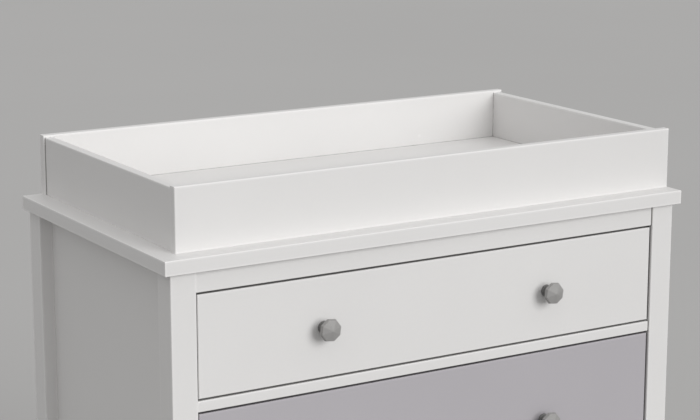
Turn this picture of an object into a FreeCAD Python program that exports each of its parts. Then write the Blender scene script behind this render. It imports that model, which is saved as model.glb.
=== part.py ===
import FreeCAD, Part
import os
import re

import Sketcher
from FreeCAD import Placement, Rotation, Vector

# Changing dresser: a three-drawer chest of square legs, recessed side panels and front rails,
# with an open changing tray on its top. Millimetres. +Z is up, the drawers open towards -Y,
# and the origin is the centre of the whole object's box, on the floor.

doc = FreeCAD.newDocument("ChangingDresser")

# Driving dimensions. Each one can be changed by itself.
SIZES = {
    # Top board and how far it stands out over the legs
    "board_width": 914.0,
    "board_depth": 508.0,
    "board_thickness": 21.5,
    "board_edge_radius": 1.5,
    "side_overhang": 11.0,
    "front_overhang": 7.5,
    # Square legs on nylon glides
    "leg_size": 40.0,
    "leg_edge_radius": 1.5,
    "glide_height": 4.0,
    "glide_radius": 14.0,
    # Heights of the front, from the floor up
    "base_clearance": 126.0,
    "bottom_rail_height": 40.0,
    "large_front_height": 221.5,
    "mid_rail_height": 16.5,
    "small_front_height": 151.5,
    "top_rail_height": 32.0,
    "drawer_gap": 3.0,
    "side_gap": 2.5,
    "front_setback": 3.0,
    # Rails, side panels and back
    "rail_depth": 22.0,
    "mid_rail_depth": 30.0,
    "back_rail_height": 60.0,
    "back_rail_thickness": 18.0,
    "rail_edge_bevel": 1.0,
    "batten_thickness": 7.0,
    "panel_thickness": 12.0,
    "panel_tongue": 8.0,
    "back_thickness": 4.0,
    "back_rebate": 8.0,
    "dust_thickness": 9.0,
    "cleat_size": 20.0,
    "batten_height": 40.0,
    "corner_block_leg": 35.0,
    "corner_block_height": 22.0,
    # Wood joints and screws
    "tenon_length": 15.0,
    "tenon_shoulder": 4.0,
    "mortise_play": 0.5,
    "hole_play": 0.1,
    "screw_head_radius": 4.2,
    "screw_head_height": 2.4,
    # Drawer boxes
    "front_thickness": 18.0,
    "front_edge_bevel": 1.2,
    "box_wall": 12.0,
    "box_edge_bevel": 1.5,
    "drawer_rear_gap": 17.5,
    "small_side_height": 110.0,
    "large_side_height": 170.0,
    "box_lift": 10.0,
    "bottom_lift": 8.0,
    "bottom_thickness": 4.0,
    "bottom_play": 0.5,
    "drawer_groove": 6.0,
    # Telescopic slides with nylon glides between their channels
    "slide_rear_gap": 23.5,
    "slide_shortfall": 20.0,
    "slide_thickness": 12.7,
    "slide_height": 35.0,
    "slide_sheet": 1.2,
    "slide_setback": 2.0,
    "slide_axis_height": 45.0,
    "slide_glide_radius": 2.35,
    "slide_glide_length": 30.0,
    "slide_glide_margin": 5.0,
    "race_gap": 0.3,
    # Knobs: a turned foot and waist under a head with eight sides. The radii of the head
    # run to the middle of a facet.
    "knob_spread": 400.0,
    "knob_projection": 28.0,
    "knob_foot_radius": 9.5,
    "knob_foot_height": 3.0,
    "knob_waist_radius": 6.5,
    "knob_neck_radius": 10.4,
    "knob_neck_height": 11.5,
    "knob_girdle_radius": 16.5,
    "knob_girdle_height": 19.0,
    "knob_rim_radius": 15.0,
    "knob_rim_height": 23.6,
    "knob_facets": 8,
    "knob_turn": 7.5,
    "knob_screw_radius": 2.0,
    "knob_screw_bite": 9.0,
    # Changing tray
    "tray_left_ledge": 32.5,
    "tray_height": 95.0,
    "tray_wall": 15.0,
    "tray_edge_radius": 2.0,
    "tray_front_ledge": 33.5,
    "tray_right_inset": 1.5,
    "tray_side_inset": 3.0,
    "tray_side_drop": 3.5,
    "tray_floor_thickness": 12.0,
    "tray_tongue": 6.0,
    "tray_shoulder": 4.0,
    # Steel plates that hold the tray to the back
    "plate_spread": 560.0,
    "plate_width": 18.0,
    "plate_reach": 45.0,
    "plate_thickness": 2.0,
    "plate_screw_radius": 1.8,
    "plate_screw_bite": 12.0,
    "plate_screw_margin": 28.0,
}

# Places and fits that follow from the driving dimensions.
PLACES = {
    # Depth: the box runs from the front of the knobs to the heads of the plates' screws
    "knob_reach": "knob_projection - front_overhang - front_setback",
    "back_hardware": "plate_thickness + screw_head_height",
    "front_edge": "(knob_reach - board_depth - back_hardware) / 2",
    "back_edge": "front_edge + board_depth",
    "leg_front": "front_edge + front_overhang",
    "leg_rear": "leg_front + leg_size",
    "back_leg_front": "back_edge - leg_size",
    "leg_span": "back_leg_front - leg_rear",
    "face_y": "leg_front + front_setback",
    "back_panel_front": "back_edge - back_thickness",
    "back_rail_front": "back_panel_front - back_rail_thickness",
    # Width, from the centre plane outwards
    "leg_outer": "board_width / 2 - side_overhang",
    "leg_inner": "leg_outer - leg_size",
    "panel_inner": "leg_inner + batten_thickness",
    "panel_outer": "panel_inner + panel_thickness",
    "panel_recess": "leg_outer - panel_outer",
    # Height, from the floor up
    "bottom_front_base": "base_clearance + bottom_rail_height + drawer_gap",
    "lower_mid_rail_base": "bottom_front_base + large_front_height + drawer_gap",
    "middle_front_base": "lower_mid_rail_base + mid_rail_height + drawer_gap",
    "upper_mid_rail_base": "middle_front_base + large_front_height + drawer_gap",
    "top_front_base": "upper_mid_rail_base + mid_rail_height + drawer_gap",
    "top_rail_base": "top_front_base + small_front_height + drawer_gap",
    "underside": "top_rail_base + top_rail_height",
    "board_top": "underside + board_thickness",
    "upper_back_rail_base": "underside - back_rail_height",
    "dust_base": "base_clearance + cleat_size",
    "dust_front": "face_y + rail_depth",
    "leg_length": "underside - glide_height",
    "panel_height": "underside - base_clearance",
    # Joints
    "mortise_depth": "tenon_length + mortise_play",
    "plate_screw_hole": "plate_screw_radius + hole_play",
    "knob_screw_hole": "knob_screw_radius + hole_play",
    "knob_blank_radius": "knob_girdle_radius / cos(180deg / knob_facets) + 1",
    # Drawers
    "front_half": "leg_inner - side_gap",
    "box_outer": "leg_inner - slide_thickness",
    "box_inner": "box_outer - box_wall",
    "box_start": "face_y + front_thickness - drawer_groove",
    "box_end": "back_rail_front - drawer_rear_gap",
    "box_length": "box_end - box_start",
    "bottom_half": "box_inner + drawer_groove - bottom_play",
    "back_lift": "bottom_lift + bottom_thickness",
    # Slides: the glides run between octagonal raceways of both members
    "slide_start": "face_y + front_thickness + slide_setback",
    "slide_length": "back_panel_front - slide_rear_gap - slide_start",
    "moving_slide_length": "slide_length - slide_shortfall",
    "race_x": "slide_thickness / 2",
    "race_inner": "slide_glide_radius + race_gap",
    "race_outer": "race_inner + slide_sheet",
    "race_top": "slide_height - race_outer",
    "race_bottom": "race_outer",
    "front_glide_y": "slide_start + slide_glide_margin",
    "rear_glide_y": "slide_start + moving_slide_length - slide_glide_margin - slide_glide_length",
    # Tray
    "tray_left_x": "tray_left_ledge - board_width / 2",
    "tray_width": "board_width - tray_left_ledge - tray_right_inset",
    "tray_centre_x": "tray_left_x + tray_width / 2",
    "tray_front_y": "front_edge + tray_front_ledge",
    "tray_back_y": "back_edge - tray_wall",
    "tray_inner_y": "tray_front_y + tray_wall",
    "tray_inner_depth": "tray_back_y - tray_inner_y",
    "tray_inner_x": "tray_left_x + tray_side_inset + tray_wall",
    "tray_side_height": "tray_height - tray_side_drop",
    "tray_tongue_thickness": "tray_wall - 2 * tray_shoulder",
    "tray_tongue_height": "tray_side_height - 2 * tray_shoulder",
    "plate_base": "underside - plate_reach",
    "plate_length": "board_thickness + 2 * plate_reach",
}

# Half a regular octagon's side over its apothem, and where a raceway's lip ends.
OCTAGON = 0.41421
LIP_UP = 0.38
LIP_OUT = 1.41421 - LIP_UP
DIAGONAL = 0.70711

# Each plane of a body, and whether its normal runs along (1) or against (-1) the axis.
PLANES = {"X": ("YZ_Plane", 1), "Y": ("XZ_Plane", -1), "Z": ("XY_Plane", 1)}

# Turns an object's own +Z to -Y.
TO_MINUS_Y = Rotation(Vector(1, 0, 0), 90)

nodes = []


def full(formula):
    """Writes a formula of plain size names as one that names their sheets."""
    def prefix(match):
        word = match.group()
        if word in SIZES:
            return "Sizes." + word
        return "Places." + word if word in PLACES else word
    return re.sub(r"[a-z]\w+", prefix, formula)


def make_sheet(name, cells):
    sheet = doc.addObject("Spreadsheet::Sheet", name)
    for row, (alias, content) in enumerate(cells.items(), start=1):
        sheet.set(f"A{row}", alias)
        sheet.set(f"B{row}", content)
        sheet.setAlias(f"B{row}", alias)
    return sheet


def tie(obj, path, formula):
    obj.setExpression(path, full(formula))


def put(obj, x, y, z, rotation=None):
    """Ties an object's own origin to three formulas."""
    if rotation:
        obj.Placement = Placement(Vector(), rotation)
    for axis, formula in zip("xyz", (x, y, z)):
        tie(obj, "Placement.Base." + axis, formula)
    return obj


def keep(obj, label):
    """Names a finished sub-part and lists it."""
    obj.Label = label
    nodes.append(obj)
    return obj


# Bodies, sketches and features

def new_body(name, x, y, z):
    return put(doc.addObject("PartDesign::Body", name), x, y, z)


def sketch_across(body, axis, offset):
    """Makes a sketch square to an axis of the body, offset along it."""
    role, sense = PLANES[axis]
    plane = next(item for item in body.Origin.OriginFeatures if item.Role == role)
    sketch = body.newObject("Sketcher::SketchObject", "Sketch")
    sketch.AttachmentSupport = [(plane, "")]
    sketch.MapMode = "FlatFace"
    tie(sketch, "AttachmentOffset.Base.z", f"{sense} * ({offset})")
    return sketch


def dimension(sketch, index, position, u, v):
    """Dimensions a point of the sketch from its origin."""
    for kind, formula in (("DistanceX", u), ("DistanceY", v)):
        number = sketch.addConstraint(Sketcher.Constraint(kind, -1, 1, index, position, 1.0))
        tie(sketch, f"Constraints[{number}]", formula)


def draw_outline(sketch, corners):
    """Draws a closed outline through corners given as pairs of formulas."""
    first = sketch.GeometryCount
    count = len(corners)
    spots = [Rotation(Vector(0, 0, 1), 360 * step / count).multVec(Vector(10, 0, 0))
             for step in range(count)]
    for step in range(count):
        sketch.addGeometry(Part.LineSegment(spots[step], spots[(step + 1) % count]), False)
    for step in range(count):
        here, after = first + step, first + (step + 1) % count
        sketch.addConstraint(Sketcher.Constraint("Coincident", here, 2, after, 1))
    for step, (u, v) in enumerate(corners):
        dimension(sketch, first + step, 1, u, v)


def rectangle(u, v, width, height):
    return [(u, v), (f"{u} + {width}", v), (f"{u} + {width}", f"{v} + {height}"),
            (u, f"{v} + {height}")]


def draw_circles(sketch, centres, radius):
    for u, v in centres:
        index = sketch.addGeometry(Part.Circle(Vector(10, 10, 0), Vector(0, 0, 1), 1), False)
        dimension(sketch, index, 3, u, v)
        number = sketch.addConstraint(Sketcher.Constraint("Radius", index, 1.0))
        tie(sketch, f"Constraints[{number}]", radius)


def extrude(body, kind, sketch, axis, length):
    """Pads or pockets a sketch towards the axis's positive side."""
    feature = body.newObject("PartDesign::" + kind, kind)
    feature.Profile = sketch
    tie(feature, "Length", length)
    along_normal = PLANES[axis][1] > 0
    feature.Reversed = along_normal if kind == "Pocket" else not along_normal
    sketch.Visibility = False
    return feature


def pad(body, axis, corners, length):
    sketch = sketch_across(body, axis, "0")
    draw_outline(sketch, corners)
    return extrude(body, "Pad", sketch, axis, length)


def pocket(body, axis, offset, outlines, length):
    sketch = sketch_across(body, axis, offset)
    for corners in outlines:
        draw_outline(sketch, corners)
    return extrude(body, "Pocket", sketch, axis, length)


def drill(body, axis, offset, centres, radius, length):
    sketch = sketch_across(body, axis, offset)
    draw_circles(sketch, centres, radius)
    return extrude(body, "Pocket", sketch, axis, length)


def pick_edges(feature, axes, where):
    """Names the feature's edges along the given axes, at the places asked for."""
    box = feature.Shape.BoundBox
    chosen = []
    for number, edge in enumerate(feature.Shape.Edges, start=1):
        run = edge.Vertexes[-1].Point - edge.Vertexes[0].Point
        axis = max(zip((abs(run.x), abs(run.y), abs(run.z)), "XYZ"))[1]
        if axis in axes and where(edge.BoundBox.Center, box):
            chosen.append(f"Edge{number}")
    return chosen


def ease_edges(body, kind, size, axes="XYZ", where=lambda middle, box: True):
    """Fillets or chamfers the body's edges along the given axes, at the places asked for."""
    doc.recompute()
    base = body.Tip
    eased = body.newObject("PartDesign::" + kind, kind)
    eased.Base = (base, pick_edges(base, axes, where))
    tie(eased, "Radius" if kind == "Fillet" else "Size", size)


def at_face(middle, box):
    return middle.y < box.YMin + 0.01


def at_top(middle, box):
    return middle.z > box.ZMax - 0.01


def above_base(middle, box):
    return middle.z > box.ZMin + 0.01


def board(name, x, y, z, size_x, size_y, size_z):
    """A rectangular board, placed by its lowest corner."""
    body = new_body(name, x, y, z)
    pad(body, "Z", rectangle("0", "0", size_x, size_y), size_z)
    return body


# Groups of plain solids

def cylinder(name, radius, length, x, y, z):
    rod = doc.addObject("Part::Cylinder", name)
    tie(rod, "Radius", radius)
    tie(rod, "Height", length)
    return put(rod, x, y, z)


def group(name, members):
    bundle = doc.addObject("Part::Compound", name)
    bundle.Links = members
    return bundle


def mirror(source, name, plane_x="0"):
    """Mirrors an object across the plane X = plane_x."""
    twin = doc.addObject("Part::Mirroring", name)
    twin.Source = source
    twin.Normal = Vector(1, 0, 0)
    tie(twin, "Base.x", plane_x)
    return twin


def pair(name, members):
    """Left members of the dresser with their mirror images, as one group."""
    return group(name, members + [mirror(member, name) for member in members])


def screw(name, radius, length, x, y, z):
    """A screw towards -Y: its head starts at (x, y, z), its shank reaches length past it."""
    shank = cylinder(name + "_shank", radius, length, "0", "0", "0")
    head = cylinder(name + "_head", "screw_head_radius", "screw_head_height", "0", "0",
                    "-screw_head_height")
    whole = doc.addObject("Part::MultiFuse", name)
    whole.Shapes = [shank, head]
    return put(whole, x, y, z, TO_MINUS_Y)


FRONT_BASES = ("bottom_front_base", "middle_front_base", "top_front_base")


# Rails: each name with its corner, depth and height.
FRONT_RAILS = {
    "top_rail": ("face_y", "top_rail_base", "rail_depth", "top_rail_height"),
    "upper_mid_rail": ("face_y", "upper_mid_rail_base", "mid_rail_depth", "mid_rail_height"),
    "lower_mid_rail": ("face_y", "lower_mid_rail_base", "mid_rail_depth", "mid_rail_height"),
    "bottom_rail": ("face_y", "base_clearance", "rail_depth", "bottom_rail_height"),
}
BACK_RAILS = {
    "upper_back_rail": ("back_rail_front", "upper_back_rail_base", "back_rail_thickness",
                        "back_rail_height"),
    "lower_back_rail": ("back_rail_front", "base_clearance", "back_rail_thickness",
                        "back_rail_height"),
}


def tenon(y, z, depth, height):
    """The section of a rail's tenon, seen along the rail."""
    return rectangle(f"{y} + tenon_shoulder", f"{z} + tenon_shoulder",
                     f"{depth} - 2 * tenon_shoulder", f"{height} - 2 * tenon_shoulder")


def build_rail(name, y, z, depth, height):
    """A rail between two legs, with a stub tenon at each end."""
    body = board(name, "-leg_inner", y, z, "2 * leg_inner", depth, height)
    ease_edges(body, "Chamfer", "rail_edge_bevel", "X")
    sketch = sketch_across(body, "X", "-tenon_length")
    draw_outline(sketch, tenon("0", "0", depth, height))
    extrude(body, "Pad", sketch, "X", "2 * (leg_inner + tenon_length)")
    if name == "upper_back_rail":
        bite = "plate_screw_bite - back_thickness"
        centres = [(f"leg_inner + {x}", f"{LOWER_SCREW_Z} - {z}") for x in PLATE_XS]
        drill(body, "Y", f"{depth} - ({bite})", centres, "plate_screw_hole", bite)
    return keep(body, name)


# Where the plates at the back are screwed: above and below the top board.
PLATE_XS = ("-plate_spread / 2", "plate_spread / 2")
LOWER_SCREW_Z = "underside - plate_screw_margin"
SCREW_ZS = (LOWER_SCREW_Z, "board_top + plate_screw_margin")


# Legs

def build_leg(name, y, rails, groove_v):
    """A left leg, grooved for the side panel and mortised for the rails."""
    body = board(name, "-leg_outer", y, "glide_height", "leg_size", "leg_size", "leg_length")
    ease_edges(body, "Fillet", "leg_edge_radius", "Z")
    groove = rectangle("panel_recess", groove_v, "panel_thickness", "panel_tongue")
    pocket(body, "Z", "base_clearance - glide_height", [groove], "panel_height")
    mortises = [tenon(f"{rail_y} - {y}", f"{rail_z} - glide_height", depth, height)
                for rail_y, rail_z, depth, height in rails.values()]
    pocket(body, "X", "leg_size - mortise_depth", mortises, "mortise_depth")
    return body


def build_legs():
    front = build_leg("front_left_leg", "leg_front", FRONT_RAILS, "leg_size - panel_tongue")
    back = build_leg("back_left_leg", "back_leg_front", BACK_RAILS, "0")
    rebate = rectangle("leg_size - back_rebate", "leg_size - back_thickness", "back_rebate",
                       "back_thickness")
    pocket(back, "Z", "base_clearance - glide_height", [rebate], "panel_height")
    for left, right in ((front, "front_right_leg"), (back, "back_right_leg")):
        keep(left, left.Name)
        keep(mirror(left, right), right)


def build_glides():
    """Nylon discs, slightly tapered to the floor, one under each leg."""
    left = []
    for y in ("leg_front", "back_leg_front"):
        disc = doc.addObject("Part::Cone", "glide")
        tie(disc, "Radius1", "glide_radius - glide_height / 4")
        tie(disc, "Radius2", "glide_radius")
        tie(disc, "Height", "glide_height")
        left.append(put(disc, "leg_size / 2 - leg_outer", f"{y} + leg_size / 2", "0"))
    keep(pair("glides", left), "leg_glides")


# Carcass

def build_top():
    body = board("top_panel", "-board_width / 2", "front_edge", "underside", "board_width",
                 "board_depth", "board_thickness")
    ease_edges(body, "Fillet", "board_edge_radius", "XY", at_top)
    keep(body, "top_panel")


def build_corner_blocks():
    """Triangular blocks under the top, in the corners of legs and rails."""
    left = []
    for y, sense in (("dust_front", 1), ("back_rail_front", -1)):
        body = new_body("corner_block", "-leg_inner", y, "underside - corner_block_height")
        corners = [("0", "0"), ("corner_block_leg", "0"), ("0", f"{sense} * corner_block_leg")]
        pad(body, "Z", corners, "corner_block_height")
        left.append(body)
    keep(pair("blocks", left), "corner_blocks")


def build_sides():
    panel = board("left_side_panel", "-panel_outer", "leg_rear - panel_tongue", "base_clearance",
                  "panel_thickness", "leg_span + 2 * panel_tongue", "panel_height")
    keep(panel, "left_side_panel")
    keep(mirror(panel, "right_side_panel"), "right_side_panel")
    cleat = board("left_cleat", "-panel_inner", "leg_rear", "base_clearance", "cleat_size",
                  "leg_span", "cleat_size")
    keep(pair("cleats", [cleat]), "bottom_cleats")
    battens = [board("batten", "-panel_inner", "leg_rear",
                     f"{base} + box_lift + slide_axis_height - batten_height / 2",
                     "batten_thickness", "leg_span", "batten_height")
               for base in FRONT_BASES]
    keep(pair("battens", battens), "slide_battens")


def build_back():
    half = "leg_inner + back_rebate"
    body = board("back_panel", f"-({half})", "back_panel_front", "base_clearance",
                 f"2 * ({half})", "back_thickness", "panel_height")
    centres = [(f"{half} + {x}", f"{LOWER_SCREW_Z} - base_clearance") for x in PLATE_XS]
    drill(body, "Y", "0", centres, "plate_screw_hole", "back_thickness")
    keep(body, "back_panel")


def build_dust_panel():
    """The panel below the lowest drawer, notched round the four legs."""
    body = new_body("bottom_panel", "-panel_inner", "dust_front", "dust_base")
    width = "2 * panel_inner"
    notch = "batten_thickness"
    front, back = "leg_rear - dust_front", "back_leg_front - dust_front"
    end = "back_rail_front - dust_front"
    left = [(notch, "0"), (notch, front), ("0", front), ("0", back), (notch, back), (notch, end)]
    right = [(f"{width} - {u}", v) for u, v in reversed(left)]
    pad(body, "Z", left + right, "dust_thickness")
    keep(body, "bottom_panel")


# Slides, drawn for the left of the dresser and mirrored to the right

def raceway():
    """One raceway about its glide: offsets (out, up) from the web round to its lip."""
    return [
        (f"race_inner * {OCTAGON}", "race_inner"),
        (f"race_inner * {LIP_OUT}", f"race_inner * {LIP_UP}"),
        (f"race_inner * {LIP_OUT} + slide_sheet * {DIAGONAL}",
         f"race_inner * {LIP_UP} + slide_sheet * {DIAGONAL}"),
        (f"race_outer * {OCTAGON}", "race_outer"),
    ]


def channel(name, y, z, length, sense):
    """A rolled channel: sense 1 opens from the cabinet side, -1 from the drawer side."""
    body = new_body(name, "-leg_inner", y, z)
    near, far = ("slide_sheet", "0") if sense > 0 else (
        "slide_thickness", "slide_thickness - slide_sheet")
    upper = [(near, f"race_top + {sense} * race_inner")]
    upper += [(f"race_x + {sense} * ({out})", f"race_top + {sense} * ({up})")
              for out, up in raceway()]
    upper += [(far, f"race_top + {sense} * race_outer")]
    lower = [(u, f"slide_height - ({v})") for u, v in reversed(upper)]
    pad(body, "Y", upper + lower, length)
    return body


def slide_glides(name, y, z):
    """Eight-sided nylon glides that fill the upper and lower raceways over a short run."""
    glides = []
    for row in ("race_top", "race_bottom"):
        body = new_body(name, "race_x - leg_inner", y, f"{z} + {row}")
        side = f"slide_glide_radius * {OCTAGON}"
        quarter = [("slide_glide_radius", side), (side, "slide_glide_radius")]
        quarter += [(f"-({u})", v) for u, v in reversed(quarter)]
        corners = quarter + [(u, f"-({v})") for u, v in reversed(quarter)]
        pad(body, "Y", corners, "slide_glide_length")
        glides.append(body)
    return glides


def slide_base(base):
    return f"{base} + box_lift + slide_axis_height - slide_height / 2"


def build_slides(drawer, base):
    z = slide_base(base)
    fixed = channel(drawer + "_fixed", "slide_start", z, "slide_length", 1)
    moving = channel(drawer + "_moving", "slide_start", z, "moving_slide_length", -1)
    rear = slide_glides(drawer + "_rear_glide", "rear_glide_y", z)
    for members, label in (([fixed], "fixed_slides"), ([moving], "moving_slides"),
                           (rear, "rear_glides")):
        keep(pair(f"{drawer}_{label}_pair", members), f"{drawer}_{label}")


def build_front_glides():
    """The glides at the mouths of the fixed channels of all three drawers."""
    left = [glide for base in FRONT_BASES
            for glide in slide_glides("front_glide", "front_glide_y", slide_base(base))]
    keep(pair("all_front_glides", left), "front_glides")


# Knobs

def knob(name, x, z):
    """A knob turned about -Y, with its head cut to facets, seated on the front at (x, z)."""
    body = new_body(name, x, "face_y", z)
    body.Placement.Rotation = Rotation(Vector(0, 1, 0), 1)
    tie(body, "Placement.Rotation.Angle", "knob_turn")

    profile = sketch_across(body, "Z", "0")
    draw_outline(profile, [
        ("knob_screw_hole", "0"), ("knob_foot_radius", "0"),
        ("knob_foot_radius", "-knob_foot_height * 0.6"),
        ("knob_waist_radius", "-knob_foot_height * 1.3"),
        ("knob_waist_radius", "-knob_neck_height"), ("knob_blank_radius", "-knob_neck_height"),
        ("knob_blank_radius", "-knob_projection"), ("0", "-knob_projection"),
        ("0", "-(knob_screw_bite + 1)"), ("knob_screw_hole", "-(knob_screw_bite + 1)")])
    turned = body.newObject("PartDesign::Revolution", "Turned")
    turned.Profile = profile
    turned.ReferenceAxis = (profile, ["V_Axis"])
    turned.Angle = 360.0
    profile.Visibility = False

    facet = [("knob_neck_radius", "-knob_neck_height"),
             ("knob_girdle_radius", "-knob_girdle_height"),
             ("knob_rim_radius", "-knob_rim_height"), ("0", "-knob_projection"),
             ("0", "-(knob_projection + 1)"),
             ("knob_blank_radius + 1", "-(knob_projection + 1)"),
             ("knob_blank_radius + 1", "-knob_neck_height")]
    doc.recompute()
    cut = pocket(body, "Z", "-knob_blank_radius", [facet], "2 * knob_blank_radius")
    pattern = body.newObject("PartDesign::PolarPattern", "Facets")
    pattern.Originals = [cut]
    pattern.Axis = (profile, ["V_Axis"])
    pattern.Angle = 360.0
    tie(pattern, "Occurrences", "knob_facets")
    body.Tip = pattern
    return body


# Drawers

def build_drawer(drawer, base, front_height, side_height):
    low = f"{base} + box_lift"
    knob_xs = ("-knob_spread / 2", "knob_spread / 2")
    middle = f"{base} + {front_height} / 2"

    front = board(drawer + "_front", "-front_half", "face_y", base, "2 * front_half",
                  "front_thickness", front_height)
    ease_edges(front, "Chamfer", "front_edge_bevel", "XZ", at_face)
    inside = "front_thickness - drawer_groove"
    dado = rectangle("front_half - box_outer", "box_lift", "box_wall", side_height)
    dados = [dado, [(f"2 * front_half - ({u})", v) for u, v in dado]]
    pocket(front, "Y", inside, dados, "drawer_groove")
    groove = rectangle("front_half - box_inner - drawer_groove", "box_lift + bottom_lift",
                       "2 * (box_inner + drawer_groove)", "bottom_thickness")
    pocket(front, "Y", inside, [groove], "drawer_groove")
    holes = [(f"front_half + {x}", f"{front_height} / 2") for x in knob_xs]
    drill(front, "Y", "0", holes, "knob_screw_hole", "front_thickness")
    keep(front, drawer + "_front")

    side = board(drawer + "_left_side", "-box_outer", "box_start", low, "box_wall", "box_length",
                 side_height)
    ease_edges(side, "Chamfer", "box_edge_bevel", "Y", at_top)
    slot = rectangle("box_wall - drawer_groove", "bottom_lift", "drawer_groove",
                     "bottom_thickness")
    pocket(side, "Y", "0", [slot], "box_length")
    keep(side, drawer + "_left_side")
    keep(mirror(side, drawer + "_right_side"), drawer + "_right_side")

    back = board(drawer + "_back", "-box_inner", "box_end - box_wall", f"{low} + back_lift",
                 "2 * box_inner", "box_wall", f"{side_height} - back_lift")
    ease_edges(back, "Chamfer", "box_edge_bevel", "X", at_top)
    keep(back, drawer + "_back")
    bottom = board(drawer + "_bottom", "-bottom_half", "box_start + bottom_play",
                   f"{low} + bottom_lift", "2 * bottom_half", "box_length - bottom_play",
                   "bottom_thickness")
    keep(bottom, drawer + "_bottom")

    knobs = [knob(f"{drawer}_knob", x, middle) for x in knob_xs]
    keep(group(drawer + "_knob_pair", knobs), drawer + "_knobs")
    screws = [screw(drawer + "_knob_screw", "knob_screw_radius",
                    "front_thickness + knob_screw_bite", x, "face_y + front_thickness", middle)
              for x in knob_xs]
    keep(group(drawer + "_knob_screw_pair", screws), drawer + "_knob_screws")
    build_slides(drawer, base)


# Changing tray

def build_tray():
    low = "board_top"
    tongue_u = "tray_side_inset + tray_shoulder"
    slot = rectangle(tongue_u, "tray_shoulder", "tray_tongue_thickness", "tray_tongue_height")
    slots = [slot, [(f"tray_width - ({u})", v) for u, v in slot]]

    front = board("tray_front", "tray_left_x", "tray_front_y", low, "tray_width", "tray_wall",
                  "tray_height")
    ease_edges(front, "Fillet", "tray_edge_radius", "XZ", above_base)
    pocket(front, "Y", "tray_wall - tray_tongue", slots, "tray_tongue")
    keep(front, "tray_front")

    back = board("tray_back", "tray_left_x", "tray_back_y", low, "tray_width", "tray_wall",
                 "tray_height")
    ease_edges(back, "Fillet", "tray_edge_radius", "XZ", above_base)
    pocket(back, "Y", "0", slots, "tray_tongue")
    holes = [(f"{x} - tray_left_x", "plate_screw_margin") for x in PLATE_XS]
    drill(back, "Y", "tray_wall - plate_screw_bite", holes, "plate_screw_hole",
          "plate_screw_bite")
    keep(back, "tray_back")

    side = board("tray_left_side", "tray_left_x + tray_side_inset", "tray_inner_y", low,
                 "tray_wall", "tray_inner_depth", "tray_side_height")
    ease_edges(side, "Fillet", "tray_edge_radius", "Y", at_top)
    sketch = sketch_across(side, "Y", "-tray_tongue")
    draw_outline(sketch, rectangle("tray_shoulder", "tray_shoulder", "tray_tongue_thickness",
                                   "tray_tongue_height"))
    extrude(side, "Pad", sketch, "Y", "tray_inner_depth + 2 * tray_tongue")
    keep(side, "tray_left_side")
    keep(mirror(side, "tray_right_side", "tray_centre_x"), "tray_right_side")

    floor = board("tray_floor", "tray_inner_x", "tray_inner_y", low,
                  "2 * (tray_centre_x - tray_inner_x)", "tray_inner_depth",
                  "tray_floor_thickness")
    keep(floor, "tray_floor")


def build_plates():
    """Steel plates over the joint of tray and carcass, each held by two screws."""
    plates, screws = [], []
    for x in PLATE_XS:
        plate = board("plate", f"{x} - plate_width / 2", "back_edge", "plate_base",
                      "plate_width", "plate_thickness", "plate_length")
        ease_edges(plate, "Chamfer", "plate_width / 4", "Y")
        holes = [("plate_width / 2", f"{z} - plate_base") for z in SCREW_ZS]
        drill(plate, "Y", "0", holes, "plate_screw_hole", "plate_thickness")
        plates.append(plate)
        screws += [screw("plate_screw", "plate_screw_radius", "plate_thickness + plate_screw_bite",
                         x, "back_edge + plate_thickness", z) for z in SCREW_ZS]
    keep(group("plates", plates), "tray_brackets")
    keep(group("plate_screws", screws), "tray_bracket_screws")


def check_model():
    """Stops if a feature failed, a cut removed nothing, or a sub-part isn't sound."""
    for obj in doc.Objects:
        if "Invalid" in obj.State or "Error" in obj.State:
            raise RuntimeError(f"{obj.Name} failed: {obj.State}")
        if obj.TypeId == "PartDesign::Pocket":
            if obj.Shape.Volume > obj.BaseFeature.Shape.Volume - 1:
                raise RuntimeError(f"{obj.Name} cuts nothing")
    for part in nodes:
        if part.Shape.isNull() or not part.Shape.isValid() or not part.Shape.Solids:
            raise RuntimeError(f"{part.Label} has no sound shape")


make_sheet("Sizes", {name: str(size) for name, size in SIZES.items()})
make_sheet("Places", {name: "=" + full(formula) for name, formula in PLACES.items()})
doc.recompute()

build_top()
build_legs()
build_sides()
build_corner_blocks()
build_front_glides()
for rail_name, rail in {**FRONT_RAILS, **BACK_RAILS}.items():
    build_rail(rail_name, *rail)
build_back()
build_dust_panel()
build_glides()
build_tray()
build_plates()
build_drawer("top", "top_front_base", "small_front_height", "small_side_height")
build_drawer("middle", "middle_front_base", "large_front_height", "large_side_height")
build_drawer("bottom", "bottom_front_base", "large_front_height", "large_side_height")

doc.recompute()
check_model()
os.makedirs("parts", exist_ok=True)
for part in nodes:
    part.Shape.exportStep(f"parts/{part.Label}.step")
print(len(nodes), "sub-parts written")
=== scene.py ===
"""Finishes, small fixings, floor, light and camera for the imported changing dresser.

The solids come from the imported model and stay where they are. This script gives each of them
its finish and its softened edges, adds the screws, nails and feet that are too small for the
solids, and sets the view. Sizes in the classes are in millimetres, everything in Blender is in
metres.
"""

import logging
import math
import random
from abc import ABC, abstractmethod
from collections.abc import Sequence
from dataclasses import dataclass, field, replace
from enum import Enum

import bmesh
import bpy
from mathutils import Matrix, Vector


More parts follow.
